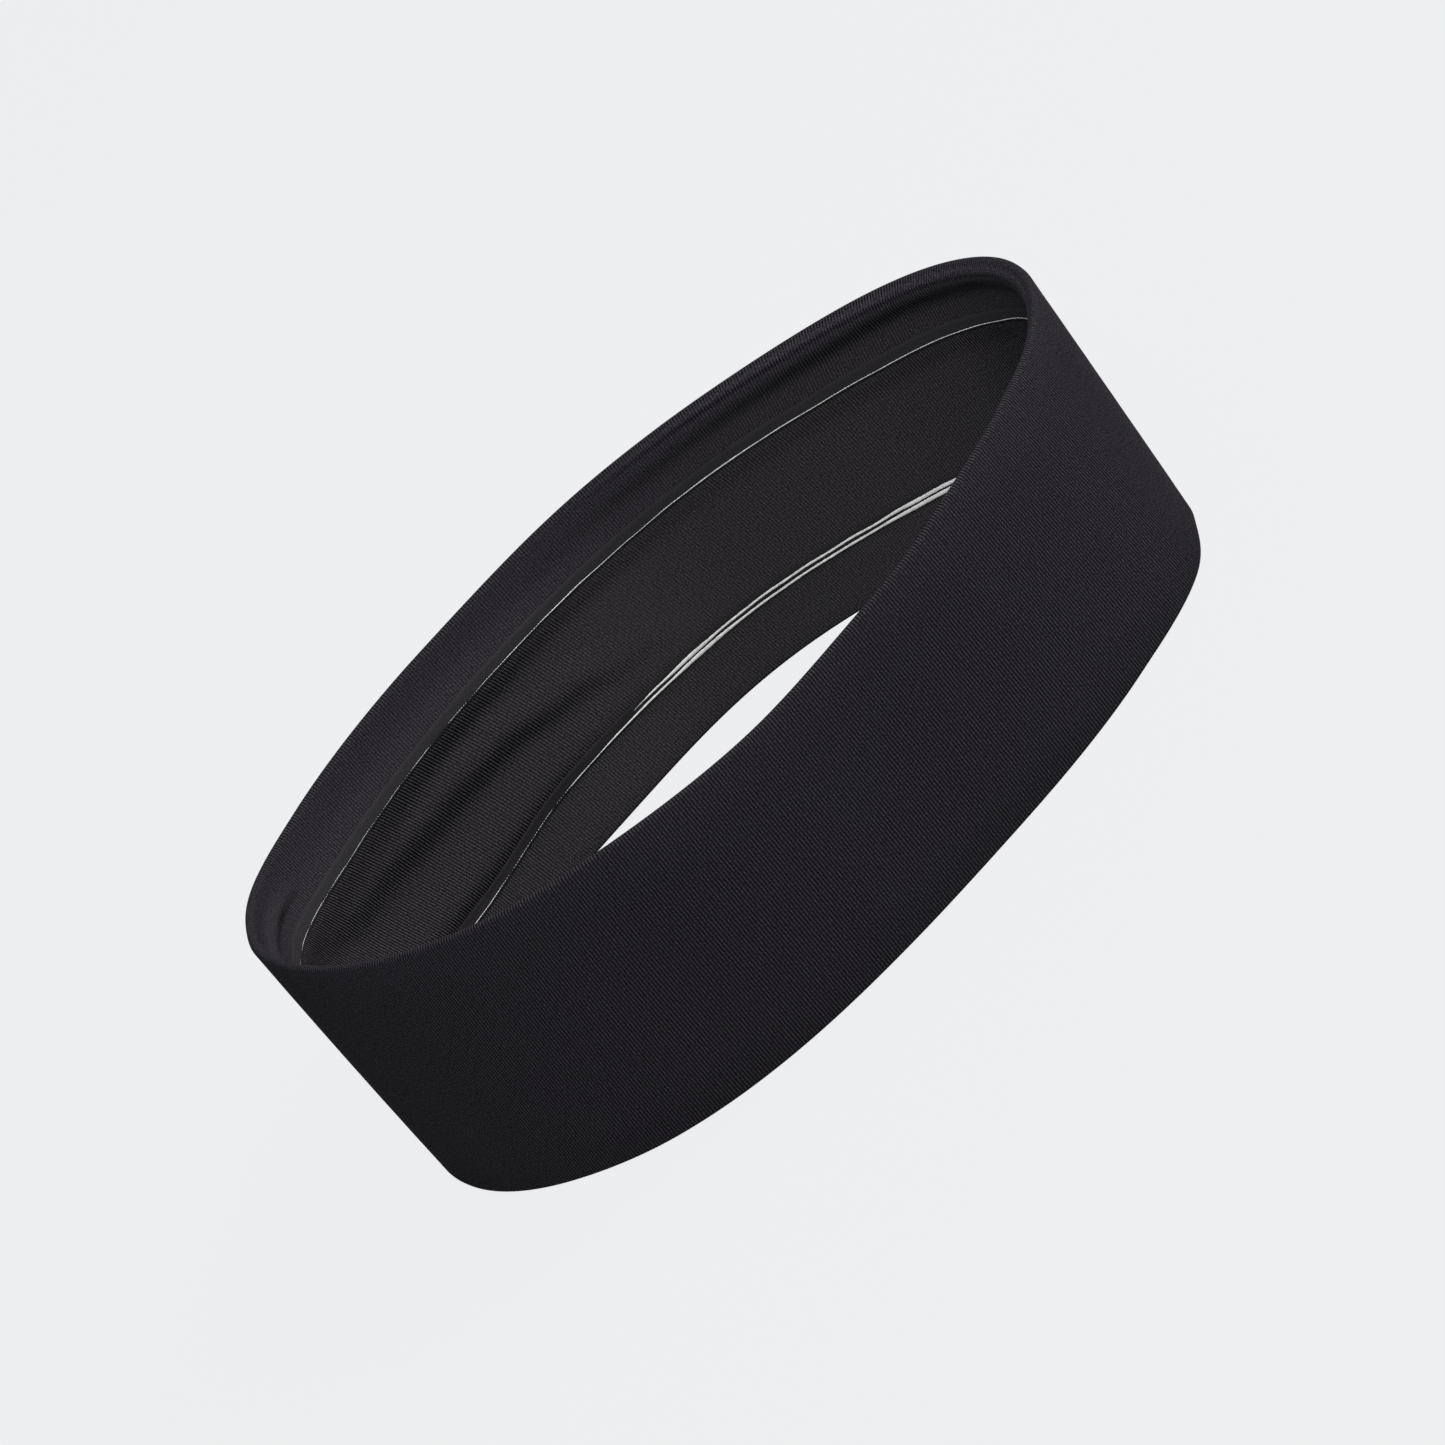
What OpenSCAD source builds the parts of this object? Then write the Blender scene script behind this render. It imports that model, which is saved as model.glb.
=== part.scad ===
// Knitted sports headband: a closed elastic loop that stands on its lower rim.
// +Z runs along the loop's axis, X along its long diameter, Y along its short one.
// The origin is the centre of the loop, in the plane that the lower rim rests on.

/* [Loop] */
// Outer long diameter at the rims, relaxed
loop_length = 184; // [150:1:210]
// Outer short diameter at the rims, relaxed
loop_width = 116; // [100:1:140]
// Height of the band from rim to rim
band_height = 55; // [45:1:75]
// How far the wall bows outwards half way up
wall_bow = 1; // [0:0.1:3]

/* [Cloth] */
// Thickness of one ply of ribbed knit
knit_thickness = 0.7; // [0.5:0.05:1]
// Air between the outer ply and the inner ply
ply_gap = 0.3; // [0.2:0.05:0.6]
// Height of the cloth turned in over the upper rim
upper_facing = 14.5; // [10:0.5:18]
// Height of the cloth turned in over the lower rim
lower_facing = 13; // [10:0.5:18]

/* [Seams] */
// Open slit between a facing's edge and the lining's edge
seam_gap = 0.5; // [0.4:0.05:0.8]
// Thickness of the sewing thread
thread_thickness = 0.24; // [0.15:0.01:0.28]
// Width of the smooth tape over each join
tape_width = 2.8; // [2:0.1:5]
// Thickness of the smooth tape
tape_thickness = 0.3; // [0.2:0.05:0.5]
// How far each back seam's thread stays short of its panel's edges
back_seam_margin = 2; // [1:0.5:4]

/* [Grip] */
// Width of the silicone beads
bead_width = 0.5; // [0.4:0.05:0.9]
// How far the beads stand out of the tape
bead_height = 0.25; // [0.2:0.05:0.6]
// Distance between the two beads of the lower line
bead_spacing = 1.1; // [1:0.05:1.6]
// Where the second lower bead starts on the back wall, in degrees past the middle
second_bead_start = 5; // [0:5:30]
// Where the second lower bead ends on the front wall, in degrees before the middle
second_bead_end = 10; // [0:5:30]

/* [Hidden] */

// The loop is swept in equal steps of the angle that draws its ellipse.
turn_step = 5;

// Depths below the outer surface, counted inwards.
outer_ply_mid = knit_thickness / 2;
inner_ply_top = knit_thickness + ply_gap;
inner_ply_mid = inner_ply_top + knit_thickness / 2;
inner_face = inner_ply_top + knit_thickness;

// An odd number of steps leaves one flat step at the very bottom of the fold.
fold_steps = 5;
wall_steps = 4;
bead_steps = 6;
thread_sides = 6;
fold_mid_radius = (inner_ply_mid - outer_ply_mid) / 2;
fold_mid_depth = (inner_ply_mid + outer_ply_mid) / 2;
fold_reach = (fold_mid_radius + knit_thickness / 2) * cos(90 / fold_steps);

// Heights of the two joins between facings and lining.
upper_seam = band_height - upper_facing;
lower_seam = lower_facing;

knit_colour = [0.11, 0.11, 0.125];
lining_colour = [0.15, 0.145, 0.16];
tape_colour = [0.13, 0.13, 0.14];
silicone_colour = [0.85, 0.85, 0.84];
thread_colour = [0.08, 0.08, 0.09];

// Outward bow of the wall at a height.
function bow(z) = wall_bow * (1 - pow(2 * z / band_height - 1, 2));

// Evenly spaced heights from one level to another.
function levels(from, to, steps) = [for (i = [0:steps]) from + (to - from) * i / steps];

// Closed outline of a strip of wall between two depths and two heights.
function strip(depth_out, depth_in, z_low, z_high, steps) =
    concat(
        [for (z = levels(z_low, z_high, steps)) [bow(z) - depth_out, z]],
        [for (z = levels(z_high, z_low, steps)) [bow(z) - depth_in, z]]
    );

// Middle line of the outer cloth with its outward normals: lower facing, lower fold, outer ply,
// upper fold, upper facing.
function inner_run(from, to) =
    [for (z = levels(from, to, 2)) [bow(z) - inner_ply_mid, z, -1, 0]];

function outer_run(from, to) =
    [for (z = levels(from, to, wall_steps)) [bow(z) - outer_ply_mid, z, 1, 0]];

function fold_run(z, from_angle, to_angle) =
    [for (i = [1:fold_steps - 1])
        let (a = from_angle + (to_angle - from_angle) * i / fold_steps)
        [bow(z) - fold_mid_depth + fold_mid_radius * cos(a), z + fold_mid_radius * sin(a),
         cos(a), sin(a)]];

function cloth_run() =
    concat(
        inner_run(lower_seam - seam_gap / 2, fold_reach),
        fold_run(fold_reach, 180, 360),
        outer_run(fold_reach, band_height - fold_reach),
        fold_run(band_height - fold_reach, 0, 180),
        inner_run(band_height - fold_reach, upper_seam + seam_gap / 2)
    );

// One side of the cloth, at a distance from its middle line.
function cloth_side(side) =
    [for (p = cloth_run()) [p[0] + p[2] * side, p[1] + p[3] * side]];

function reversed(list) = [for (i = [len(list) - 1:-1:0]) list[i]];

// Closed outline of the outer cloth.
function cloth_section() =
    concat(cloth_side(knit_thickness / 2), reversed(cloth_side(-knit_thickness / 2)));

// Closed outline of one tape: it lies on the inner face and starts just below its join.
function tape_section(seam) =
    strip(inner_face, inner_face + tape_thickness,
          seam - seam_gap / 2, seam + tape_width - seam_gap / 2, 1);

// Closed outline of one bead: a low half round on the tape's inner face.
function bead_section(z) =
    [for (i = [0:bead_steps])
        let (a = 90 + 180 * i / bead_steps)
        [bow(z) - inner_face - tape_thickness + bead_height * cos(a),
         z + bead_width / 2 * sin(a)]];

// Closed outline of the thread that lies in the slit between facing and lining.
function thread_section(seam) =
    [for (i = [0:thread_sides - 1])
        let (a = 360 * i / thread_sides)
        [bow(seam) - inner_ply_mid + thread_thickness / 2 * cos(a),
         seam + thread_thickness / 2 * sin(a)]];

// Point of the loop's ellipse at an angle, with the outward normal there.
function station(angle) =
    let (normal = [loop_width * cos(angle), loop_length * sin(angle)])
    [loop_length / 2 * cos(angle), loop_width / 2 * sin(angle),
     normal[0] / norm(normal), normal[1] / norm(normal)];

// A section's points, each an outward offset and a height, placed at one station.
function ring(section, angle) =
    let (s = station(angle))
    [for (p = section) [s[0] + s[2] * p[0], s[1] + s[3] * p[0], p[1]]];

// The two triangles between neighbouring points of neighbouring rings.
function patch(near, far, i, j) = [[near + i, near + j, far + j], [near + i, far + j, far + i]];

// A convex section's end, closed by triangles that share its first point.
function cap(base, count, flip) =
    [for (i = [1:count - 2])
        flip ? [base, base + i + 1, base + i] : [base, base + i, base + i + 1]];

// One closed solid: a section swept along the loop from one angle to another.
module sweep(section, from_angle = 0, to_angle = 360) {
    whole = to_angle - from_angle == 360;
    count = len(section);
    steps = (to_angle - from_angle) / turn_step;
    rings = whole ? steps : steps + 1;
    points = [for (k = [0:rings - 1]) each ring(section, from_angle + k * turn_step)];
    sides = [for (k = [0:steps - 1], i = [0:count - 1])
        each patch(k * count, ((k + 1) % rings) * count, i, (i + 1) % count)];
    ends = whole ? [] : concat(cap(0, count, true), cap(steps * count, count, false));
    polyhedron(points, concat(sides, ends));
}

// Thread of a back seam: it follows the bowed wall at one depth, at the left end of the loop.
module back_seam_thread(depth, z_low, z_high) {
    translate([-loop_length / 2, thread_thickness / 2, 0])
        rotate([90, 0, 0])
            linear_extrude(height = thread_thickness)
                polygon([for (p = strip(depth - thread_thickness / 2,
                                        depth + thread_thickness / 2,
                                        z_low, z_high, wall_steps)) [-p[0], p[1]]]);
}

// Outer knit band, with both long edges turned over the rims to the inside.
module outer_panel() {
    color(knit_colour)
        sweep(cloth_section());
}

// Inner ribbed band between the two joins.
module lining_panel() {
    color(lining_colour)
        sweep(strip(inner_ply_top, inner_face,
                    lower_seam + seam_gap / 2, upper_seam - seam_gap / 2, wall_steps));
}

module upper_seam_tape() {
    color(tape_colour)
        sweep(tape_section(upper_seam));
}

module lower_seam_tape() {
    color(tape_colour)
        sweep(tape_section(lower_seam));
}

module upper_grip_bead() {
    color(silicone_colour)
        sweep(bead_section(upper_seam + bead_width / 2));
}

module lower_grip_bead() {
    color(silicone_colour)
        sweep(bead_section(lower_seam + bead_width / 2));
}

// Second bead above the lower one: part of the front wall, the right end and part of the back.
module lower_grip_second_bead() {
    color(silicone_colour)
        sweep(bead_section(lower_seam + bead_width / 2 + bead_spacing),
              second_bead_end - 90, second_bead_start + 90);
}

module upper_seam_thread() {
    color(thread_colour)
        sweep(thread_section(upper_seam));
}

module lower_seam_thread() {
    color(thread_colour)
        sweep(thread_section(lower_seam));
}

// Thread of the join that closes the outer strip, between the two plies.
module outer_back_seam_thread() {
    color(thread_colour)
        back_seam_thread(knit_thickness + ply_gap / 2,
                         back_seam_margin, band_height - back_seam_margin);
}

// Thread of the join that closes the lining, on its inner face between the two tapes.
module lining_back_seam_thread() {
    color(thread_colour)
        back_seam_thread(inner_face + thread_thickness / 2,
                         lower_seam + tape_width + back_seam_margin,
                         upper_seam - back_seam_margin);
}

outer_panel();
lining_panel();
upper_seam_tape();
lower_seam_tape();
upper_grip_bead();
lower_grip_bead();
lower_grip_second_bead();
upper_seam_thread();
lower_seam_thread();
outer_back_seam_thread();
lining_back_seam_thread();
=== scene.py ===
"""Looks of a knitted sports headband: ribbed cloth, seam tapes, silicone grip beads and stitches.

Every cloth piece is swept round the loop in mesh code. A place on the loop is given by its arc
length from the right end (+X), counted towards the back wall (+Y), its height, and its depth below
the outer face. Lengths are in metres.
"""
import math

import bpy
import numpy as np
from mathutils import Matrix, Vector


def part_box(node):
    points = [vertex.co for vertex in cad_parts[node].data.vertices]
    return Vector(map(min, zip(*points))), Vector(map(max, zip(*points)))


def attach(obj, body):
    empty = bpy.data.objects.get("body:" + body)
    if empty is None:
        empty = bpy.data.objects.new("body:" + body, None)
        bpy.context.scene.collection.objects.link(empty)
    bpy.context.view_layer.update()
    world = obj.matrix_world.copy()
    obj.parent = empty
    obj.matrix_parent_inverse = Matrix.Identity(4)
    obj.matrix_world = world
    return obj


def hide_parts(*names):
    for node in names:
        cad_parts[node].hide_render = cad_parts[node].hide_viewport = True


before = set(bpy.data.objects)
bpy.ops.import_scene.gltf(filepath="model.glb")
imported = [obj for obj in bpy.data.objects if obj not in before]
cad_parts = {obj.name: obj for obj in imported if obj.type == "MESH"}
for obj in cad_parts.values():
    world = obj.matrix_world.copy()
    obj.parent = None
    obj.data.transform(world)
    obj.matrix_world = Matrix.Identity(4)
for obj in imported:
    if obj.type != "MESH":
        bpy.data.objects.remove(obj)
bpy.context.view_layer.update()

MM = 0.001

# ---------------------------------------------------------------- sizes, from the frame
PANEL_LOW, PANEL_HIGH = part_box("outer_panel")
HEIGHT = PANEL_HIGH[2]
CAD_BOW = 1.0 * MM                  # how far the CAD wall bows out half way up
HALF_LENGTH = PANEL_HIGH[0] - CAD_BOW
HALF_WIDTH = PANEL_HIGH[1] - CAD_BOW


def middle_height(node):
    """Height half way up a CAD node."""
    low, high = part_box(node)
    return (low[2] + high[2]) / 2


def height_range(node):
    """Lowest and highest place of a CAD node."""
    low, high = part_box(node)
    return low[2], high[2]


UPPER_SEAM = middle_height("upper_seam_thread")
LOWER_SEAM = middle_height("lower_seam_thread")
UPPER_TAPE = height_range("upper_seam_tape")
LOWER_TAPE = height_range("lower_seam_tape")
LINING = height_range("lining_panel")
SEAM_GAP = (LINING[0] - LOWER_SEAM) * 2

# Cloth, as in the CAD model: two plies with air between them.
PLY = 0.7 * MM
AIR = 0.3 * MM
INNER_PLY = PLY + AIR               # depth of the inner ply's hidden side
INNER_FACE = INNER_PLY + PLY        # depth of the face that touches the head
FOLD_RADIUS = INNER_FACE / 2        # outer radius of the turned rims
TAPE_THICKNESS = 0.3 * MM

# The relaxed loop isn't a perfect ellipse. UNEVEN, LEAN, FLARE, RIM_WAVES and the camera's values
# were fitted to the photo by programs outside this script. UPPER_RIM_DIPS and LOWER_RIM_BUMPS began
# as such a program's output and were then changed by hand. UPPER_RIM_BUMPS was set from measured
# differences between the loop's outline and the photo's.

# Waves round the loop, as shares of its radius: how many waves, then the cosine and sine parts half
# way up, and how much they grow from rim to rim.
UNEVEN = [(3, 0.0172, -0.0090, 0.012, 0.020),
          (4, -0.0022, -0.0171, 0.0, 0.010),
          (5, 0.0077, 0.0060, -0.004, 0.0125)]
SOFT_BOW = 0.3 * MM                 # the soft wall bows out less than the CAD wall
LEAN = (3.3 * MM, 0.6 * MM)         # how far the upper rim sits to the right and back of the lower
FLARE = (0.017, 0.013)              # how much longer and wider the upper rim is than the lower
# The upper rim's own waves in height: how many, then the cosine and sine parts.
RIM_WAVES = [(1, -1.19 * MM, 0.61 * MM), (2, 0.56 * MM, 0.83 * MM)]
# Dips and bumps, as (angle in degrees, millimetres): how far the upper rim rises there, and how far
# each rim stands out.
UPPER_RIM_DIPS = [(0, -0.1), (30, -0.4), (60, 0.1), (120, 0.0), (150, -0.7), (180, 0.7), (210, 0.0),
                  (234, 0.0), (270, -1.7), (302, 0.0), (322, 1.1), (332, 1.05), (348, 0.1)]
UPPER_RIM_BUMPS = [(10, 0.0), (30, 0.1), (148, 0.1), (161, 1.0), (172, 0.0), (185, -0.6),
                   (205, -0.2), (225, 0.0), (335, 0.0), (350, -0.1)]
LOWER_RIM_BUMPS = [(0, -1.2), (20, -0.2), (60, -0.1), (120, 0.2), (180, 0.2), (205, 0.1),
                   (222, 0.6), (240, 0.5), (270, 0.5), (300, 0.1), (325, 0.0), (339, 1.7),
                   (350, -0.2)]

# Rib knit
RIBS = 768                          # ribs round the loop, 0.62 mm apart
RIB_POINTS = 3                      # mesh columns in one rib
COLUMNS = RIBS * RIB_POINTS
BACK_STEP = 16                      # hidden sides have one column for this many visible ones
EDGE_ROW = 0.15 * MM                # distance of the first row from a cut edge
ARC_STEPS = 20000                   # steps of the table that turns arc lengths into angles
TAPE_RINGS = 1152
BEAD_RINGS = 3072
SECOND_BEAD_RINGS = 2048
SEAM_STITCHES = 240                 # zigzag stitches round each seam
BACK_STITCH = 2.5 * MM              # shortest length of a back seam's stitch
STITCH_POINTS = 9                   # points along one stitch


# ---------------------------------------------------------------- the loop
def outline_radius(angle, rise):
    """Distance from the loop's axis to its outline. rise is -0.5 at the lower rim and 0.5 above."""
    half_length = HALF_LENGTH * (1 + FLARE[0] * rise)
    half_width = HALF_WIDTH * (1 + FLARE[1] * rise)
    ellipse = 1 / np.sqrt((np.cos(angle) / half_length) ** 2 + (np.sin(angle) / half_width) ** 2)
    uneven = 0
    for waves, cosine, sine, cosine_growth, sine_growth in UNEVEN:
        uneven = uneven + (cosine + cosine_growth * rise) * np.cos(waves * angle)
        uneven = uneven + (sine + sine_growth * rise) * np.sin(waves * angle)
    return ellipse * (1 + uneven)


def along_loop(places, degrees):
    """Value that runs smoothly round the loop through (angle, value) places."""
    angles, values = (np.array(column, dtype=float) for column in zip(*places))
    angles = np.append(angles, angles[0] + 360)
    values = np.append(values, values[0])
    degrees = (degrees - angles[0]) % 360 + angles[0]
    index = np.clip(np.searchsorted(angles, degrees, side="right") - 1, 0, len(places) - 1)
    share = (degrees - angles[index]) / (angles[index + 1] - angles[index])
    share = share * share * (3 - 2 * share)
    return values[index] * (1 - share) + values[index + 1] * share


def outer_point(angle, height):
    """Point of the outer face at an angle and a height."""
    share = height / HEIGHT
    rise = share - 0.5
    radius = outline_radius(angle, rise) + SOFT_BOW * (1 - 4 * rise ** 2)
    wave = sum(c * np.cos(n * angle) + s * np.sin(n * angle) for n, c, s in RIM_WAVES)
    degrees = np.degrees(angle)
    wave = wave + along_loop(UPPER_RIM_DIPS, degrees) * MM
    radius = radius + along_loop(UPPER_RIM_BUMPS, degrees) * MM * share
    radius = radius + along_loop(LOWER_RIM_BUMPS, degrees) * MM * (1 - share)
    x = radius * np.cos(angle) + LEAN[0] * rise
    y = radius * np.sin(angle) + LEAN[1] * rise
    return np.stack([x, y, height + wave * share], axis=-1)


def arc_table():
    """Angles and their arc lengths along the outline half way up."""
    angles = np.linspace(0, 2 * np.pi, ARC_STEPS + 1)
    points = outer_point(angles, HEIGHT / 2)
    steps = np.linalg.norm(np.diff(points, axis=0), axis=1)
    return angles, np.concatenate([[0], np.cumsum(steps)])


ARC_ANGLES, ARC_LENGTHS = arc_table()
GIRTH = ARC_LENGTHS[-1]


def angle_at(arc):
    """Angle in radians at an arc length, which may run past the loop's start or end."""
    turns = np.floor(arc / GIRTH)
    return np.interp(arc - turns * GIRTH, ARC_LENGTHS, ARC_ANGLES) + 2 * np.pi * turns


def arc_at(degrees):
    """Arc length at an angle in degrees."""
    return float(np.interp(math.radians(degrees), ARC_ANGLES, ARC_LENGTHS))


def smooth(value, low, high):
    """Rises from 0 at low to 1 at high, with soft ends."""
    t = np.clip((value - low) / (high - low), 0, 1)
    return t * t * (3 - 2 * t)


def round_noise(arc, waves, seed):
    """Smooth noise round the loop, with up to so many waves. It stays mostly between -1 and 1."""
    source = np.random.default_rng(seed)
    total = 0 * arc
    for n in range(1, waves + 1):
        total = total + source.normal() * np.cos(2 * np.pi * n * arc / GIRTH + source.uniform(0, 6.28))
    return total / math.sqrt(waves)


# ---------------------------------------------------------------- seams and soft creases
# How far each sewn seam wanders from its straight line: (angle in degrees, rise in millimetres).
# These places, like the widths of the silicone lines, were set from measurements of the
# photo's lines.
UPPER_DRIFT = [(2, 1.8), (14, 0.95), (28, 0.55), (56, 0.85), (76, 0.6), (108, 1.15), (118, 1.15),
               (147, 0.2), (165, 1.0), (200, 0.3), (340, 1.2)]
LOWER_DRIFT = [(40, 0.0), (76, 0.1), (107, 0.6), (114, 0.5), (138, -2.4), (150, -2.5),
               (185, 0.0), (300, 0.0)]

# Creases that run along the loop. The cloth above one stands off further than the cloth below.
# Places are (angle, height in millimetres, step in millimetres); width is the half width of the
# step in millimetres, and reach how many widths further up the cloth has come back.
INNER_CREASES = [
    # just under the upper tape, all the way round
    {"width": 2.1, "reach": 4, "places": [(0, 38.0, 0.4), (60, 38.0, 0.35), (100, 38.0, 0.6),
                                          (125, 38.0, 0.85), (150, 37.8, 0.75), (172, 37.8, 0.5),
                                          (300, 38.2, 0.3)]},
    # long slanting crease in the lining of the back wall
    {"width": 2.2, "reach": 3, "places": [(76, 19.0, 0.0), (90, 21.5, 0.3), (104, 25.0, 0.65),
                                          (120, 28.4, 0.9), (133, 30.0, 0.95), (150, 32.0, 0.9),
                                          (162, 35.0, 0.5), (172, 36.0, 0.0)]},
    # over the lower tape, towards the left end
    {"width": 1.9, "reach": 5, "places": [(60, 14.6, 0.0), (100, 14.6, 0.4), (118, 15.0, 0.8),
                                          (145, 16.0, 1.1), (170, 16.0, 0.6), (250, 14.6, 0.3),
                                          (330, 14.6, 0.0)]},
    # deep crease behind the upper rim, towards the right end
    {"width": 2.1, "reach": 2, "places": [(0, 50.0, 1.7), (20, 49.9, 1.7), (34, 49.4, 1.5),
                                          (46, 49.1, 1.1), (62, 48.7, 0.7), (85, 48.4, 0.2),
                                          (110, 48.0, 0.0), (325, 50.0, 0.0), (342, 50.0, 1.5)]},
    # sharp short crease in the facing at the left end
    {"width": 0.8, "reach": 4, "places": [(154, 46.4, 0.0), (165, 47.2, 1.2), (180, 48.2, 1.7),
                                          (200, 48.6, 1.2), (225, 48.6, 0.0)]},
    # fine line just behind the upper rim
    {"width": 0.5, "reach": 3, "places": [(10, 53.2, 0.4), (50, 53.1, 0.4), (85, 53.0, 0.0),
                                          (340, 53.2, 0.0)]},
]


def crease_relief(degrees, height):
    """How far the cloth stands off because of its creases, and the slope of their steps."""
    total = 0 * (degrees + height)
    slope = total
    for crease in INNER_CREASES:
        width = crease["width"] * MM
        centre = along_loop([place[:2] for place in crease["places"]], degrees) * MM
        step = along_loop([(place[0], place[2]) for place in crease["places"]], degrees) * MM
        place = (height - centre) / width
        total = total + step * smooth(place, -1, 1) * (1 - smooth(place, 1, 1 + crease["reach"]))
        slope = slope + step / width * np.exp(-place ** 2)
    return total, slope


def seam_shift(degrees, height):
    """How far the inner layer is moved up by its wandering seams."""
    tape = UPPER_TAPE[1] - UPPER_TAPE[0]
    lining = smooth(height, LOWER_SEAM + tape, UPPER_SEAM)
    lower = smooth(height, 0, LOWER_SEAM) * (1 - lining)
    upper = lining * (1 - smooth(height, UPPER_SEAM + tape, HEIGHT - 1 * MM))
    return (lower * along_loop(LOWER_DRIFT, degrees) + upper * along_loop(UPPER_DRIFT, degrees)) * MM


def wall_point(arc, height, depth):
    """Point at a depth below the outer face, and the outward direction there.

    The inner layer also has its creases, which fade out at the rims, and its wandering seams.
    """
    small = 1e-4                    # radians to each side, for the outline's direction
    angle = angle_at(arc)
    degrees = np.degrees(angle) % 360
    inner = smooth(depth, PLY, INNER_PLY)
    ends = smooth(height, 0, 3 * MM) * smooth(HEIGHT - height, 0, 1.5 * MM)
    depth = depth + inner * crease_relief(degrees, height)[0] * ends
    height = height + inner * seam_shift(degrees, height)
    point = outer_point(angle, height)
    along = outer_point(angle + small, height) - outer_point(angle - small, height)
    outward = np.stack([along[..., 1], -along[..., 0], 0 * angle], axis=-1)
    outward /= np.linalg.norm(outward, axis=-1, keepdims=True)
    return point - outward * depth[..., None], outward


# ---------------------------------------------------------------- mesh making
def carried_on(face_uv):
    """Corner coordinates, one pair a row. Faces over the loop's start carry on past its end."""
    u = face_uv[..., 0]
    crosses = u.max(axis=1) - u.min(axis=1) > GIRTH / 2
    face_uv[..., 0] = u + GIRTH * (crosses[:, None] & (u < GIRTH / 2))
    return face_uv.reshape(-1, 2)


def new_object(name, points, faces, uv=None, tints=None):
    """Object from points and blocks of faces.

    uv holds a pair for each point, and tints lists of numbers by name, one number for each point.
    """
    mesh = bpy.data.meshes.new(name)
    mesh.from_pydata([], [], [])
    faces = [np.asarray(block) for block in faces]
    sizes = np.concatenate([np.full(len(block), block.shape[1]) for block in faces])
    corners = np.concatenate([block.ravel() for block in faces]).astype(np.int32)
    mesh.vertices.add(len(points))
    mesh.vertices.foreach_set("co", np.asarray(points, dtype=np.float32).ravel())
    mesh.loops.add(len(corners))
    mesh.loops.foreach_set("vertex_index", corners)
    mesh.polygons.add(len(sizes))
    starts = np.concatenate([[0], np.cumsum(sizes)[:-1]]).astype(np.int32)
    mesh.polygons.foreach_set("loop_start", starts)
    if uv is not None:
        layer = mesh.uv_layers.new(name="cloth")
        corner_uv = np.concatenate([carried_on(np.asarray(uv)[block]) for block in faces])
        layer.data.foreach_set("uv", corner_uv.astype(np.float32).ravel())
    for key, values in (tints or {}).items():
        attribute = mesh.attributes.new(key, "FLOAT", "POINT")
        attribute.data.foreach_set("value", np.asarray(values, dtype=np.float32))
    mesh.update(calc_edges=True)
    mesh.validate()
    mesh.polygons.foreach_set("use_smooth", np.ones(len(sizes), dtype=bool))
    obj = bpy.data.objects.new(name, mesh)
    bpy.context.scene.collection.objects.link(obj)
    return obj


def grid_faces(rows, columns, start=0, flip=False):
    """Quads of a grid whose rows close round the loop."""
    row, column = np.meshgrid(np.arange(rows - 1), np.arange(columns), indexing="ij")
    after = (column + 1) % columns
    low, high = start + row * columns, start + (row + 1) * columns
    quads = np.stack([low + column, low + after, high + after, high + column], axis=-1).reshape(-1, 4)
    return quads[:, ::-1] if flip else quads


def join_rings(fine, fine_count, coarse, coarse_count, flip):
    """Triangles that close the strip between a fine ring and a coarse one."""
    step = fine_count // coarse_count
    half = step // 2
    triangles = []
    for k in range(coarse_count):
        here, after = coarse + k, coarse + (k + 1) % coarse_count
        for i in range(step):
            a, b = fine + k * step + i, fine + (k * step + i + 1) % fine_count
            triangles.append((here if i < half else after, b, a))
        triangles.append((here, after, fine + k * step + half))
    triangles = np.array(triangles)
    return triangles[:, ::-1] if flip else triangles


def section_path(pieces):
    """Joins runs of (height, depth, outward part, upward part) into one path."""
    return np.concatenate([np.asarray(piece) for piece in pieces])


def face_run(low, high, steps, depth, side):
    """Straight run up or down a face. side is 1 for the outer face and -1 for the inner one."""
    return [(z, depth, side, 0.0) for z in np.linspace(low, high, steps + 1)]


def fold_run(height, start, stop, steps):
    """Round run over a rim, between its two ends."""
    angles = np.radians(np.linspace(start, stop, steps + 1)[1:-1])
    return [(height + FOLD_RADIUS * math.sin(a), FOLD_RADIUS - FOLD_RADIUS * math.cos(a),
             math.cos(a), math.sin(a)) for a in angles]


def rib_wave(arc):
    """Height of the ribs, from -1 in a groove to 1 on a rib."""
    return np.sin(2 * np.pi * RIBS * arc / GIRTH)


# How strongly the grooves between the ribs show, as painted shade that darkens them: on the turned
# rims, and round the loop on the inner faces, where it also sets how high the ribs stand. The lining's
# high values at the right end paint shade there, next to the near rim.
RIM_GROOVE_SHADE = 1.15
RIM_RELIEF = 0.2                    # height of the ribs on the rims, as a share of their usual one
UPPER_FACING_RIBS_AND_SHADE = [(0, 0.7), (80, 0.6), (115, 0.65), (150, 0.8), (200, 1.0), (300, 0.85)]
LINING_RIBS_AND_SHADE = [(0, 1.4), (8, 1.2), (20, 0.75), (40, 0.65), (80, 0.55), (115, 0.95), (150, 1.15),
               (200, 1.1), (300, 0.9)]
LOWER_FACING_RIBS_AND_SHADE = [(0, 0.65), (60, 0.65), (90, 0.7), (150, 1.0), (200, 1.0), (300, 0.9)]


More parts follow.
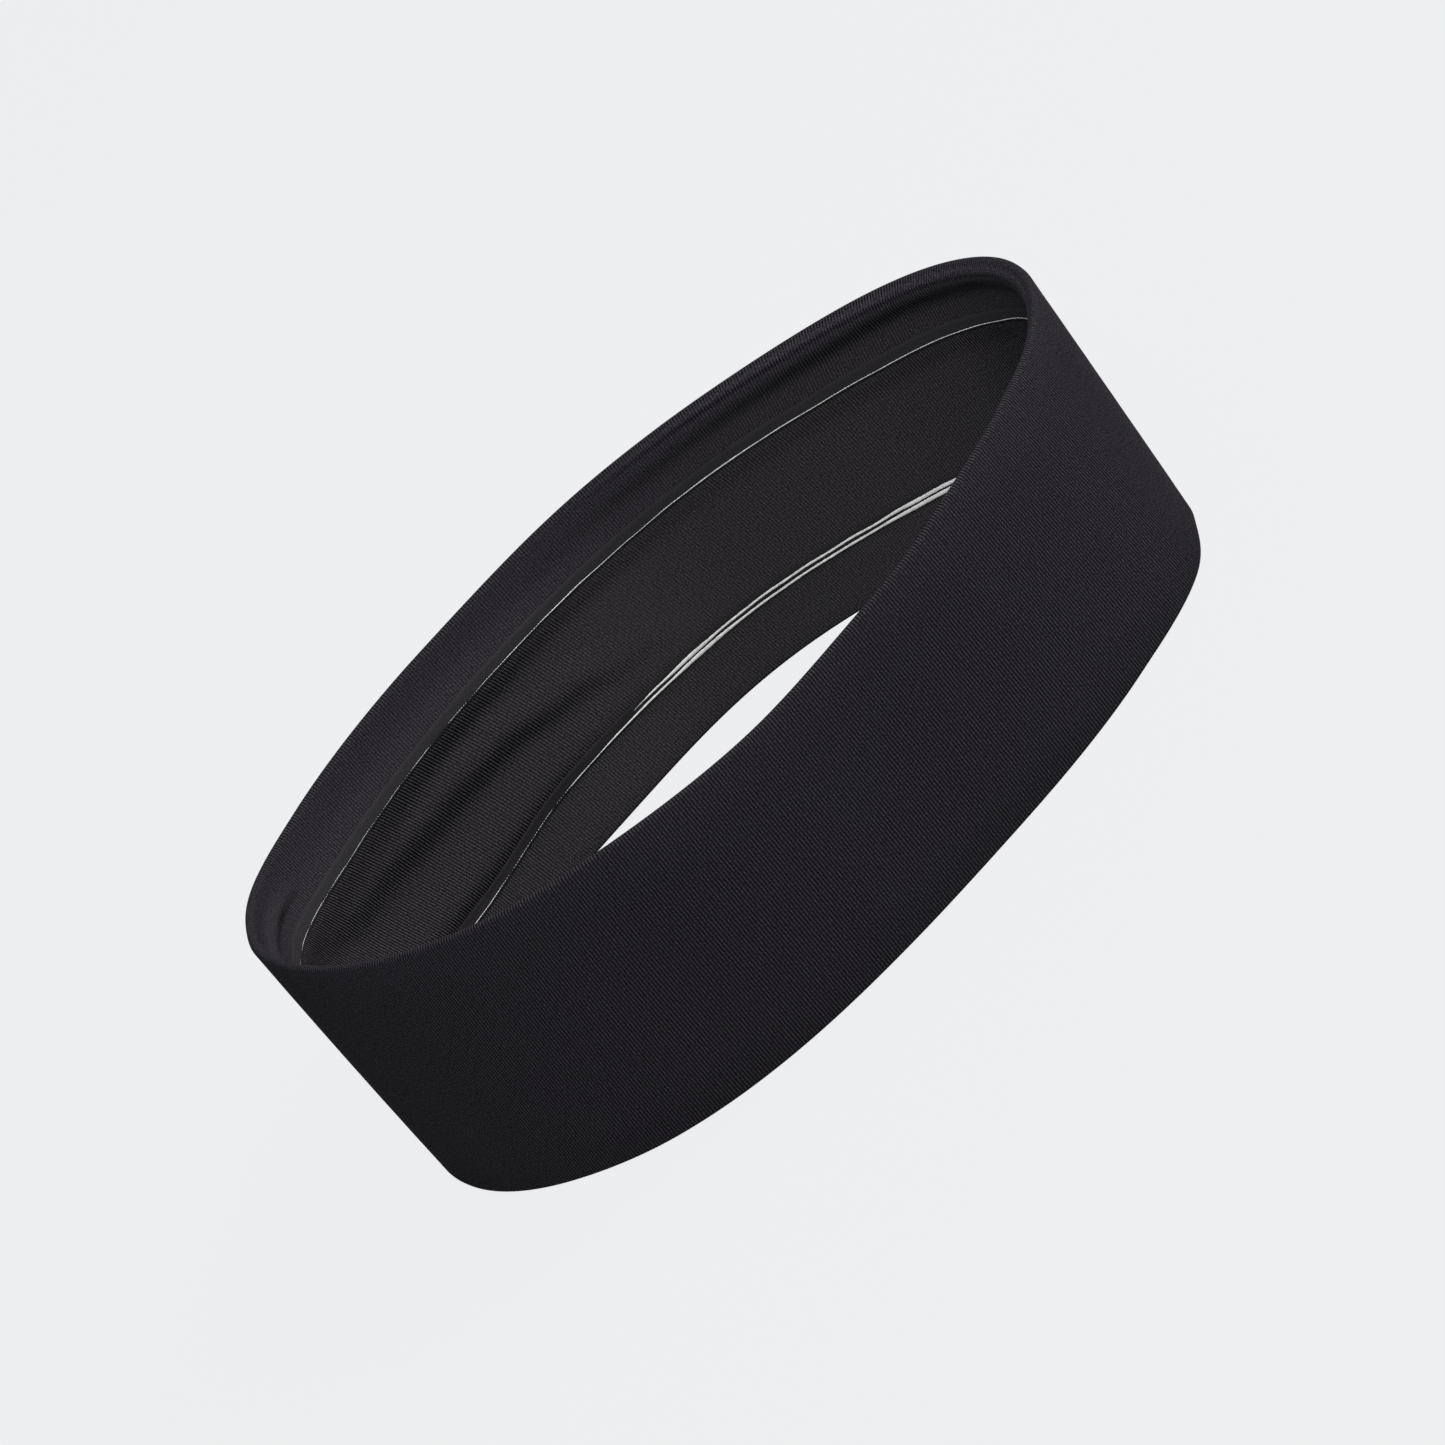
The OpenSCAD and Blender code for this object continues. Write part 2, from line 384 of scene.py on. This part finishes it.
def rib_height_and_groove_shade(arcs, heights, inner):
    """1 outside. Inside, ribs stand out more in the creases and less where the cloth is pulled flat;
    the same number sets how dark the grooves are painted, so the creases get painted shade.
    """
    degrees = np.degrees(angle_at(arcs)) % 360
    slope = crease_relief(degrees, heights)[1]
    upper, lining, lower = (along_loop(places, degrees) for places in
                            (UPPER_FACING_RIBS_AND_SHADE, LINING_RIBS_AND_SHADE, LOWER_FACING_RIBS_AND_SHADE))
    ribs_and_shade_by_place = np.where(heights > UPPER_SEAM, upper, np.where(heights < LOWER_SEAM, lower, lining))
    crease_ribs_and_shade = np.where(heights > UPPER_SEAM, 0.6, 1.3) * slope
    return np.where(inner, np.clip(ribs_and_shade_by_place + crease_ribs_and_shade, 0.35, 1.5), 1.0)


def sweep_path(path, count, slant, relief):
    """Points of a section path swept round the loop, and how dark the material paints the ribs' grooves
    there, as painted shade.

    slant gives how far the ribs have moved along the loop at each arc and row, and relief is the
    usual height of the ribs, or 0 for a side without them.
    """
    arc = np.arange(count) * GIRTH / count
    heights, depths, outs, ups = (path[:, i][:, None] for i in range(4))
    arcs = arc[None, :] + slant(arc[None, :], heights, outs)
    point, outward = wall_point(arcs, heights + 0 * arcs, depths + 0 * arcs)
    strength = rib_height_and_groove_shade(arcs, heights, outs < -0.5)
    on_rim = np.abs(ups) > 0.3
    height = relief * np.where(on_rim, RIM_RELIEF, strength) * rib_wave(arc)[None, :]
    height = height * (1 + 0.2 * round_noise(arc, 40, 3))
    # Painted shade: on the turned rims the grooves are painted darker.
    strength = np.where(on_rim, RIM_GROOVE_SHADE, strength)
    point = point + outward * (outs * height)[..., None]
    point[..., 2] += ups * height
    return point, strength


def path_lengths(path):
    """Length of a path up to each of its points."""
    steps = np.hypot(np.diff(path[:, 0]), np.diff(path[:, 1]))
    return np.concatenate([[0], np.cumsum(steps)])


def with_edge_rows(path):
    """The path with one more row close to each end, so that shading stays even up to the cut edges."""
    rows = []
    for end, following in ((path[0], path[1]), (path[-1], path[-2])):
        rows.append(end + (following - end) * EDGE_ROW / abs(following[0] - end[0]))
    return np.concatenate([path[:1], rows[:1], path[1:-1], rows[1:], path[-1:]])


def cloth_solid(name, front, back, slant, relief, inside):
    """One closed cloth: a ribbed front path and a plain back path, from one cut edge to the other.

    inside gives how much of each row of the front has the inner faces' colour, from 0 to 1.
    """
    front = with_edge_rows(front)
    back_count = COLUMNS // BACK_STEP
    front_points, strength = sweep_path(front, COLUMNS, slant, relief)
    back_points, _ = sweep_path(back, back_count, slant, 0.0)
    front_rows, back_rows = len(front), len(back)
    start = front_rows * COLUMNS
    faces = [
        grid_faces(front_rows, COLUMNS),
        grid_faces(back_rows, back_count, start, flip=True),
        join_rings(0, COLUMNS, start, back_count, False),
        join_rings((front_rows - 1) * COLUMNS, COLUMNS, start + (back_rows - 1) * back_count,
                   back_count, True),
    ]
    points = np.concatenate([front_points.reshape(-1, 3), back_points.reshape(-1, 3)])
    arc = np.arange(COLUMNS) * GIRTH / COLUMNS
    u = np.broadcast_to(arc[None, :], strength.shape)
    v = np.broadcast_to(path_lengths(front)[:, None], strength.shape)
    hidden = np.ones(back_rows * back_count)
    uv = np.concatenate([np.stack([u, v], -1).reshape(-1, 2), np.zeros((len(hidden), 2))])
    inner = np.broadcast_to(inside(front)[:, None], strength.shape).ravel()
    tints = {
        # ribs: how dark the material paints the grooves, as painted shade
        "ribs": np.concatenate([strength.ravel(), hidden]),
        "inside": np.concatenate([inner, hidden]),
    }
    return new_object(name, points, faces, uv, tints)


# ---------------------------------------------------------------- the outer cloth
RIB_RELIEF = 0.06 * MM              # usual height of the ribs, from their middle
CREASES_FROM = HEIGHT - 3 * MM      # top of the facing's evenly spaced rows, under the rim's roll
# Lean of the ribs, as a distance along the loop for each unit of height. The first number holds half
# way between the ends, and the second is added at the right end and taken off at the left end.
OUTSIDE_LEAN = (-0.025, -0.045)
LOWER_FACING_LEAN = 0.16
UPPER_FACING_LEAN = 0.05
# Towards the right the upper facing's ribs lean the other way: how much, where, and how far round.
FACING_TURN, FACING_TURN_AT, FACING_TURN_WIDTH = 0.2, 38, 18


def outer_front_path():
    """Visible side: lower facing, lower rim, outside, upper rim, upper facing."""
    low, high = FOLD_RADIUS, HEIGHT - FOLD_RADIUS
    return section_path([
        face_run(LOWER_SEAM - SEAM_GAP / 2, low, 4, INNER_FACE, -1),
        fold_run(low, 180, 360, 5),
        face_run(low, high, 6, 0.0, 1),
        fold_run(high, 0, 180, 5),
        face_run(high, CREASES_FROM, 6, INNER_FACE, -1),
        face_run(CREASES_FROM, UPPER_SEAM + SEAM_GAP / 2, 12, INNER_FACE, -1)[1:],
    ])


def outer_back_path():
    """Hidden side, between the plies, in the same order."""
    middle = (INNER_PLY + PLY) / 2
    low, high = FOLD_RADIUS, HEIGHT - FOLD_RADIUS
    return section_path([
        face_run(LOWER_SEAM - SEAM_GAP / 2, low, 2, INNER_PLY, 1),
        [(low - 0.1 * MM, middle, 0.0, 1.0)],
        face_run(low, high, 8, PLY, -1),
        [(high + 0.1 * MM, middle, 0.0, -1.0)],
        face_run(high, UPPER_SEAM + SEAM_GAP / 2, 12, INNER_PLY, 1),
    ])


def outer_slant(arc, height, out):
    """The ribs of the outer cloth lean a little, and more in the lower facing."""
    side = np.cos(2 * np.pi * arc / GIRTH)
    lean = OUTSIDE_LEAN[0] + OUTSIDE_LEAN[1] * side
    outside = lean * (height - HEIGHT / 2) * (out > -0.5)
    rim = lean * HEIGHT / 2
    lower = (out <= -0.5) & (height < HEIGHT / 2)
    upper = (out <= -0.5) & (height > HEIGHT / 2)
    past = (np.degrees(angle_at(arc)) % 360 - FACING_TURN_AT) / FACING_TURN_WIDTH
    facing_lean = UPPER_FACING_LEAN - FACING_TURN * np.exp(-past ** 2)
    return (outside + lower * (-rim + LOWER_FACING_LEAN * height) +
            upper * (rim + facing_lean * (height - HEIGHT)))


def make_outer_panel():
    def inside(path):
        # the upper facing is nearer the outside's colour, most of all next to the rim
        facing = 0.1 + 0.4 * smooth(HEIGHT - path[:, 0], 2 * MM, 9 * MM)
        return (path[:, 2] < -0.99) * np.where(path[:, 0] > UPPER_SEAM, facing, 1.0)

    return cloth_solid("outer_knit_band", outer_front_path(), outer_back_path(),
                       outer_slant, RIB_RELIEF, inside)


# ---------------------------------------------------------------- the lining
LINING_ROWS = 26


def lining_slant(arc, height, out):
    """The lining was sewn in with its ribs leaning, most at the left end."""
    side = np.cos(2 * np.pi * arc / GIRTH)
    rise = height - LINING[0]
    return (0.2 - 0.09 * side) * rise + (0.06 - 0.06 * side) * rise ** 2 / (LINING[1] - LINING[0])


def make_lining():
    low, high = LINING
    front = section_path([face_run(high, low, LINING_ROWS, INNER_FACE, -1)])
    back = section_path([face_run(high, low, LINING_ROWS, INNER_PLY, 1)])
    return cloth_solid("ribbed_lining", front, back, lining_slant, RIB_RELIEF,
                       lambda path: np.ones(len(path)))


# ---------------------------------------------------------------- tapes
TAPE_SINK = 0.02 * MM               # how far a tape lies in the cloth under it
# Closed outline of a tape: share of its width, and share of its thickness there.
TAPE_SHARE = np.array([0.0, 0.03, 0.25, 0.5, 0.75, 0.97, 1.0, 0.97, 0.5, 0.03])
TAPE_RISE = np.array([0.5, 0.9, 1.0, 1.05, 1.0, 0.9, 0.5, 0.0, 0.0, 0.0])


def ring_solid(name, section, count, start=0.0, stop=None, uv_scale=1.0):
    """Closed solid of rings, round the whole loop or from one arc length to another.

    section(arc) gives the depths and heights of a closed outline at each arc.
    """
    whole = stop is None
    stop = GIRTH if whole else stop
    arc = start + np.arange(count) * (stop - start) / (count if whole else count - 1)
    depths, heights = section(arc[None, :])
    rows = len(depths)
    arcs = np.broadcast_to(arc[None, :], depths.shape)
    points, _ = wall_point(arcs, heights, depths)
    points = points.transpose(1, 0, 2).reshape(-1, 3)       # ring after ring
    joined = count if whole else count - 1
    ring, corner = np.meshgrid(np.arange(joined), np.arange(rows), indexing="ij")
    after, following = (ring + 1) % count, (corner + 1) % rows
    quads = np.stack([ring * rows + corner, ring * rows + following,
                      after * rows + following, after * rows + corner], axis=-1).reshape(-1, 4)
    faces = [quads]
    if not whole:
        fan = np.array([(0, i, i + 1) for i in range(1, rows - 1)])
        faces += [fan[:, ::-1], fan + (count - 1) * rows]
    lengths = np.linspace(0, 1, rows) * uv_scale
    uv = np.stack([arcs.T, np.broadcast_to(lengths[None, :], (count, rows))], -1).reshape(-1, 2)
    return new_object(name, points, faces, uv)


def make_tape(name, heights, seed):
    """Smooth ribbon with rounded edges that follows the cloth under it."""
    low, high = heights
    share = TAPE_SHARE[:, None]

    def section(arc):
        edge = 0.08 * MM * round_noise(arc, 30, seed)
        z = low + (high - low) * share + edge * share
        depth = INNER_FACE + TAPE_THICKNESS * TAPE_RISE[:, None] - TAPE_SINK
        depth = depth + 0.05 * MM * round_noise(arc, 60, seed + 1) * np.sin(np.pi * share)
        return depth + 0 * arc, z
    return ring_solid(name, section, TAPE_RINGS, uv_scale=high - low)


# ---------------------------------------------------------------- silicone beads
def grains(arc, pitch, seed):
    """Row of uneven lumps, 0.2 to 1, about one pitch apart."""
    source = np.random.default_rng(seed)
    count = int(round(GIRTH / pitch))
    sizes = source.uniform(0.2, 1, count + 1)
    sizes[-1] = sizes[0]
    place = (arc % GIRTH) / GIRTH * count
    index = np.floor(place).astype(int) % count
    part = place - np.floor(place)
    return sizes[index] * (1 - smooth(part, 0, 1)) + sizes[index + 1] * smooth(part, 0, 1)


BEAD_BASE = INNER_FACE + TAPE_THICKNESS * 0.9 - 0.03 * MM       # depth, just inside the tape
BEAD_HEIGHT = 0.25 * MM
# Width of each silicone line: (angle in degrees, millimetres).
UPPER_BEAD = [(28, 0.17), (58, 0.24), (76, 0.13), (92, 0.2), (108, 0.13), (118, 0.08), (158, 0.08),
              (200, 0.12), (300, 0.2)]
LOWER_BEAD = [(0, 0.75), (34, 0.78), (42, 0.48), (66, 0.48), (80, 0.8), (88, 0.44), (100, 0.32),
              (108, 0.22), (119, 0.12), (132, 0.12), (180, 0.25), (300, 0.4)]
SECOND_BEAD = [(0, 0.75), (34, 0.75), (42, 0.46), (72, 0.48), (82, 0.8), (90, 0.42), (96, 0.08),
               (270, 0.1), (290, 0.4), (340, 0.6)]


def make_bead(name, node, widths, seed, count=BEAD_RINGS, start=0.0, stop=None):
    """Silicone line on its tape: half round, uneven, and pinched into grains where it is thin."""
    centre = middle_height(node)
    angles = np.radians(np.linspace(90, 270, 7))

    def section(arc):
        width = along_loop(widths, np.degrees(angle_at(arc)) % 360) * MM
        thin = 1 - smooth(width, 0.15 * MM, 0.35 * MM)
        pinch = 0.5 + 0.5 * rib_wave(arc)
        width = width * (1 + thin * (0.5 * pinch - 0.3))
        width = width * (0.86 + 0.28 * grains(arc, 0.8 * MM, seed))
        wander = 0.04 * MM * round_noise(arc, 50, seed + 2)
        z = centre + wander + width / 2 * np.sin(angles)[:, None]
        lump = 0.8 + 0.4 * grains(arc, 0.55 * MM, seed + 1)
        tall = np.minimum(BEAD_HEIGHT, 0.5 * width) * lump
        depth = BEAD_BASE - tall * np.cos(angles)[:, None]
        return depth, z
    return ring_solid(name, section, count, start, stop)


# ---------------------------------------------------------------- stitches
def tube(name, paths, radius, sides=6):
    """One mesh of round tubes along open paths, each with closed ends."""
    points, quads, caps, start = [], [], [], 0
    turn = 2 * np.pi * np.arange(sides) / sides
    for path in paths:
        path = np.asarray(path)
        along = np.gradient(path, axis=0)
        along /= np.linalg.norm(along, axis=1, keepdims=True)
        side = np.cross(along, [0.31, 0.22, 0.92])
        side /= np.linalg.norm(side, axis=1, keepdims=True)
        up = np.cross(side, along)
        ring = (path[:, None] + radius * (side[:, None] * np.cos(turn)[None, :, None] +
                                          up[:, None] * np.sin(turn)[None, :, None]))
        points.append(ring.reshape(-1, 3))
        k, i = np.meshgrid(np.arange(len(path) - 1), np.arange(sides), indexing="ij")
        j = (i + 1) % sides
        quads.append((np.stack([k * sides + i, (k + 1) * sides + i,
                                (k + 1) * sides + j, k * sides + j], -1) + start).reshape(-1, 4))
        fan = np.array([(0, a, a + 1) for a in range(1, sides - 1)])
        caps += [fan + start, fan[:, ::-1] + start + (len(path) - 1) * sides]
        start += len(path) * sides
    return new_object(name, np.concatenate(points), [np.concatenate(quads)] + caps)


def make_seam_stitches(name, seam):
    """Zigzag of thread that crosses the slit between facing and lining, under the tape."""
    pitch = GIRTH / SEAM_STITCHES
    t = np.linspace(0, 1, STITCH_POINTS)
    paths = []
    for k in range(SEAM_STITCHES):
        arc = (k + t * 0.94) * pitch
        height = seam + 0.16 * MM * np.sin(2 * np.pi * t)
        depth = INNER_PLY + PLY * (0.5 + 0.3 * np.cos(2 * np.pi * t))
        point, _ = wall_point(arc, height, depth)
        paths.append(point)
    return tube(name, paths, 0.1 * MM)


def make_back_stitches(name, node, depth):
    """Row of straight stitches up a back seam, at the left end of the loop."""
    low, high = height_range(node)
    count = int((high - low) // BACK_STITCH)
    step = (high - low) / count
    t = np.linspace(0, 1, STITCH_POINTS)
    arc = np.full(STITCH_POINTS, arc_at(180))
    paths = []
    for k in range(count):
        height = low + (k + 0.04 + 0.92 * t) * step
        rise = 0.1 * MM * np.sin(np.pi * t)
        point, _ = wall_point(arc, height, depth + rise)
        paths.append(point)
    return tube(name, paths, 0.11 * MM, sides=8)


# ---------------------------------------------------------------- materials
def new_material(name, colour, roughness, sheen=0.0, specular=0.25):
    """Material with one plain shader, whose colour and bump are linked later."""
    material = bpy.data.materials.new(name)
    material.use_nodes = True
    shader = material.node_tree.nodes["Principled BSDF"]
    shader.inputs["Base Color"].default_value = (*colour, 1)
    shader.inputs["Roughness"].default_value = roughness
    shader.inputs["Specular IOR Level"].default_value = specular
    shader.inputs["Sheen Weight"].default_value = sheen
    return material, material.node_tree, shader


def math_node(tree, operation, *values):
    """Output of a math node. MULTIPLY_ADD is the first value times the second, plus the third."""
    node = tree.nodes.new("ShaderNodeMath")
    node.operation = operation
    for socket, value in zip(node.inputs, values):
        if isinstance(value, (int, float)):
            socket.default_value = value
        else:
            tree.links.new(value, socket)
    return node.outputs[0]


def mix_colour(tree, factor, first, second, blend="MIX"):
    """Colour output of a mix node."""
    node = tree.nodes.new("ShaderNodeMix")
    node.data_type = "RGBA"
    node.blend_type = blend
    pairs = ((node.inputs[0], factor), (node.inputs[6], first), (node.inputs[7], second))
    for socket, value in pairs:
        if isinstance(value, (int, float)):
            socket.default_value = value
        elif isinstance(value, tuple):
            socket.default_value = (*value, 1)
        else:
            tree.links.new(value, socket)
    return node.outputs[2]


def attribute(tree, name):
    """One of the numbers that a mesh holds for each of its points."""
    node = tree.nodes.new("ShaderNodeAttribute")
    node.attribute_name = name
    return node.outputs["Fac"]


def cloth_coordinates(tree, across, along):
    """The cloth's own coordinates, as counts of a pattern across and along the ribs."""
    uv = tree.nodes.new("ShaderNodeUVMap")
    uv.uv_map = "cloth"
    mapping = tree.nodes.new("ShaderNodeMapping")
    mapping.inputs["Scale"].default_value = (across, along, 1)
    tree.links.new(uv.outputs["UV"], mapping.inputs["Vector"])
    return mapping.outputs["Vector"]


def add_bump(tree, shader, height, strength, distance):
    bump = tree.nodes.new("ShaderNodeBump")
    bump.inputs["Strength"].default_value = strength
    bump.inputs["Distance"].default_value = distance
    tree.links.new(height, bump.inputs["Height"])
    tree.links.new(bump.outputs["Normal"], shader.inputs["Normal"])


def noise(tree, vector, scale, detail=2.0):
    node = tree.nodes.new("ShaderNodeTexNoise")
    node.inputs["Scale"].default_value = scale
    node.inputs["Detail"].default_value = detail
    tree.links.new(vector, node.inputs["Vector"])
    return node.outputs["Fac"]


def rib_groove(tree):
    """0 on the top of a rib and 1 in the groove, from the cloth's own coordinates."""
    uv = tree.nodes.new("ShaderNodeUVMap")
    uv.uv_map = "cloth"
    parts = tree.nodes.new("ShaderNodeSeparateXYZ")
    tree.links.new(uv.outputs["UV"], parts.inputs[0])
    turn = math_node(tree, "MULTIPLY", parts.outputs["X"], 2 * math.pi * RIBS / GIRTH)
    wave = math_node(tree, "SINE", turn)
    return math_node(tree, "MULTIPLY_ADD", wave, -0.5, 0.5)


def knit_material(name, outside, inside):
    """Black rib knit: grooves painted darker than the ribs as painted shade, mottled loops along each
    rib, and fibres.
    """
    material, tree, shader = new_material(name, outside, 0.95, specular=0.04)
    face = mix_colour(tree, attribute(tree, "inside"), outside, inside)
    # Painted shade: the grooves are mixed towards black, more where the mesh's ribs number is high: in
    # the creases, on the rims and at the right end.
    shade = math_node(tree, "MULTIPLY", rib_groove(tree), attribute(tree, "ribs"))
    shade = math_node(tree, "MULTIPLY", shade, 0.8)
    shade = math_node(tree, "MINIMUM", shade, 1.0)
    face = mix_colour(tree, shade, face, (0.0, 0.0, 0.0))
    loops = cloth_coordinates(tree, RIBS / GIRTH, 1 / (0.45 * MM))
    mottle = noise(tree, loops, 1.6)
    strength = math_node(tree, "MULTIPLY_ADD", mottle, 3.2, -0.6)
    face = mix_colour(tree, 1.0, face, strength, "MULTIPLY")
    tree.links.new(face, shader.inputs["Base Color"])

    wave = tree.nodes.new("ShaderNodeTexWave")
    wave.wave_type = "BANDS"
    wave.bands_direction = "Y"
    wave.inputs["Scale"].default_value = 0.5
    wave.inputs["Distortion"].default_value = 2.0
    wave.inputs["Detail"].default_value = 1.0
    tree.links.new(loops, wave.inputs["Vector"])
    fibre = noise(tree, loops, 4.0)
    height = math_node(tree, "MULTIPLY_ADD", wave.outputs["Fac"], 0.6, fibre)
    add_bump(tree, shader, height, 0.7, 0.07 * MM)
    return material


def tape_material(name, colour):
    """Smooth black elastic: very fine cross threads, with no ribs."""
    material, tree, shader = new_material(name, colour, 0.9, specular=0.04)
    threads = cloth_coordinates(tree, 1 / (0.3 * MM), 1 / (0.18 * MM))
    grain = noise(tree, threads, 1.0)
    strength = math_node(tree, "MULTIPLY_ADD", grain, 1.2, 0.4)
    face = mix_colour(tree, 1.0, colour, strength, "MULTIPLY")
    tree.links.new(face, shader.inputs["Base Color"])
    add_bump(tree, shader, grain, 0.4, 0.02 * MM)
    return material


def silicone_material():
    """Milky silicone, with small bubbles and dust that dull it in places."""
    material, tree, shader = new_material("milky_silicone", (0.8, 0.8, 0.79), 0.38)
    where = tree.nodes.new("ShaderNodeTexCoord").outputs["Object"]
    cloud = noise(tree, where, 1 / (0.9 * MM), 3.0)
    face = mix_colour(tree, cloud, (0.42, 0.42, 0.42), (0.95, 0.95, 0.94))
    tree.links.new(face, shader.inputs["Base Color"])
    shader.inputs["Subsurface Weight"].default_value = 0.25
    shader.inputs["Subsurface Radius"].default_value = (0.3 * MM, 0.3 * MM, 0.3 * MM)
    shader.inputs["Subsurface Scale"].default_value = 1.0
    grain = noise(tree, where, 1 / (0.25 * MM))
    add_bump(tree, shader, grain, 0.5, 0.05 * MM)
    return material


def thread_material():
    """Black sewing thread with the slant of its twist."""
    material, tree, shader = new_material("sewing_thread", (0.012, 0.012, 0.014), 0.6, sheen=0.2)
    where = tree.nodes.new("ShaderNodeTexCoord").outputs["Object"]
    wave = tree.nodes.new("ShaderNodeTexWave")
    wave.bands_direction = "DIAGONAL"
    wave.inputs["Scale"].default_value = 1 / (0.5 * MM)
    tree.links.new(where, wave.inputs["Vector"])
    face = mix_colour(tree, wave.outputs["Fac"], (0.008, 0.008, 0.009), (0.02, 0.02, 0.022))
    tree.links.new(face, shader.inputs["Base Color"])
    add_bump(tree, shader, wave.outputs["Fac"], 0.6, 0.04 * MM)
    return material


# ---------------------------------------------------------------- stage, light and camera
BACKGROUND = (0.831, 0.847, 0.855)
MIDDLE = Vector((0, 0, HEIGHT / 2))
# The camera looks at the middle of the loop. Angles are in degrees.
VIEW_AZIMUTH, VIEW_ELEVATION, VIEW_ROLL = -92.62, 26.99, -42.42
VIEW_DISTANCE = 1.15
SENSOR_WIDTH = 36
LENS = 157.8
SHIFT = (0.0022, 0.0065)


def camera_axes():
    """The camera's directions to its right, up, and away from what it looks at."""
    azimuth, elevation, roll = (math.radians(a) for a in (VIEW_AZIMUTH, VIEW_ELEVATION, VIEW_ROLL))
    back = Vector((math.cos(elevation) * math.cos(azimuth),
                   math.cos(elevation) * math.sin(azimuth), math.sin(elevation)))
    level = Vector((0, 0, 1)).cross(back).normalized()
    upright = back.cross(level)
    right = math.cos(roll) * level + math.sin(roll) * upright
    return right, back.cross(right), back


def make_camera():
    right, up, back = camera_axes()
    data = bpy.data.cameras.new("camera")
    data.sensor_width = SENSOR_WIDTH
    data.lens = LENS
    data.shift_x, data.shift_y = SHIFT
    data.clip_start, data.clip_end = 0.05, 30
    camera = bpy.data.objects.new("camera", data)
    axes = Matrix((right, up, back)).transposed().to_4x4()
    camera.matrix_world = Matrix.Translation(MIDDLE + back * VIEW_DISTANCE) @ axes
    bpy.context.scene.collection.objects.link(camera)
    bpy.context.scene.camera = camera


def area_light(name, direction, distance, size, watts):
    """Square soft light that looks at the middle of the loop."""
    data = bpy.data.lights.new(name, "AREA")
    data.size = size
    data.energy = watts
    light = bpy.data.objects.new(name, data)
    direction = Vector(direction).normalized()
    light.location = MIDDLE + direction * distance
    light.rotation_euler = direction.to_track_quat("Z", "Y").to_euler()
    bpy.context.scene.collection.objects.link(light)


def glow(tree, lighting, seen):
    """Strength with one value for the light it gives and another for how bright it looks."""
    path = tree.nodes.new("ShaderNodeLightPath")
    return math_node(tree, "MULTIPLY_ADD", path.outputs["Is Camera Ray"], seen - lighting, lighting)


def make_world():
    world = bpy.data.worlds.new("studio")
    world.use_nodes = True
    tree = world.node_tree
    background = tree.nodes["Background"]
    background.inputs["Color"].default_value = (*BACKGROUND, 1)
    tree.links.new(glow(tree, 0.45, 1.0), background.inputs["Strength"])
    bpy.context.scene.world = world


def make_floor():
    """Large pale floor that glows evenly, so that it stays as pale as the air above it."""
    size = 6.0
    points = [(-size, -size, 0), (size, -size, 0), (size, size, 0), (-size, size, 0)]
    floor = new_object("floor", points, [np.array([(0, 1, 2, 3)])])
    material, tree, shader = new_material("pale_floor", (0.02, 0.02, 0.02), 1.0, specular=0.0)
    shader.inputs["Emission Color"].default_value = (*BACKGROUND, 1)
    tree.links.new(glow(tree, 0.4, 0.985), shader.inputs["Emission Strength"])
    floor.data.materials.append(material)


make_camera()
make_world()
make_floor()
area_light("key", (0.2, -1.0, 1.4), 1.6, 1.1, 20)
area_light("side", (1.2, -0.1, 1.0), 1.6, 0.8, 21)
bpy.context.scene.view_settings.view_transform = "Standard"

# ---------------------------------------------------------------- pieces
outer_cloth = make_outer_panel()
lining = make_lining()
upper_tape = make_tape("upper_tape", UPPER_TAPE, 11)
lower_tape = make_tape("lower_tape", LOWER_TAPE, 13)
upper_bead = make_bead("upper_silicone_bead", "upper_grip_bead", UPPER_BEAD, 21)
lower_bead = make_bead("lower_silicone_bead", "lower_grip_bead", LOWER_BEAD, 31)
second_bead = make_bead("second_silicone_bead", "lower_grip_second_bead", SECOND_BEAD, 41,
                        SECOND_BEAD_RINGS, arc_at(280) - GIRTH, arc_at(96))
upper_stitches = make_seam_stitches("upper_seam_stitches", UPPER_SEAM)
lower_stitches = make_seam_stitches("lower_seam_stitches", LOWER_SEAM)
outer_back_stitches = make_back_stitches("outer_back_stitches", "outer_back_seam_thread",
                                         PLY + AIR / 2)
lining_back_stitches = make_back_stitches("lining_back_stitches", "lining_back_seam_thread",
                                          INNER_FACE)

OUTSIDE = (0.034, 0.031, 0.038)
INSIDE = (0.046, 0.042, 0.048)
# Both tapes are one elastic; the lower tape's darker colour is painted shade, for it faces down.
UPPER_TAPE_COLOUR = (0.026, 0.024, 0.027)
LOWER_TAPE_SHADED_COLOUR = (0.021, 0.019, 0.022)
outer_knit = knit_material("outer_rib_knit", OUTSIDE, INSIDE)
lining_knit = knit_material("lining_rib_knit", INSIDE, INSIDE)
upper_tape_cloth = tape_material("upper_smooth_tape", UPPER_TAPE_COLOUR)
lower_tape_shaded_cloth = tape_material("lower_smooth_tape_shaded", LOWER_TAPE_SHADED_COLOUR)
silicone = silicone_material()
thread = thread_material()

PIECES = [
    (outer_cloth, "outer_panel", "outer_knit", outer_knit),
    (lining, "lining_panel", "lining_knit", lining_knit),
    (upper_tape, "upper_seam_tape", "seam_tape", upper_tape_cloth),
    (lower_tape, "lower_seam_tape", "seam_tape", lower_tape_shaded_cloth),
    (upper_bead, "upper_grip_bead", "silicone", silicone),
    (lower_bead, "lower_grip_bead", "silicone", silicone),
    (second_bead, "lower_grip_second_bead", "silicone", silicone),
    (upper_stitches, "upper_seam_thread", "thread", thread),
    (lower_stitches, "lower_seam_thread", "thread", thread),
    (outer_back_stitches, "outer_back_seam_thread", "thread", thread),
    (lining_back_stitches, "lining_back_seam_thread", "thread", thread),
]
for piece, node, slot, material in PIECES:
    piece.data.materials.append(material)
    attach(piece, "root")
    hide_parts(node)
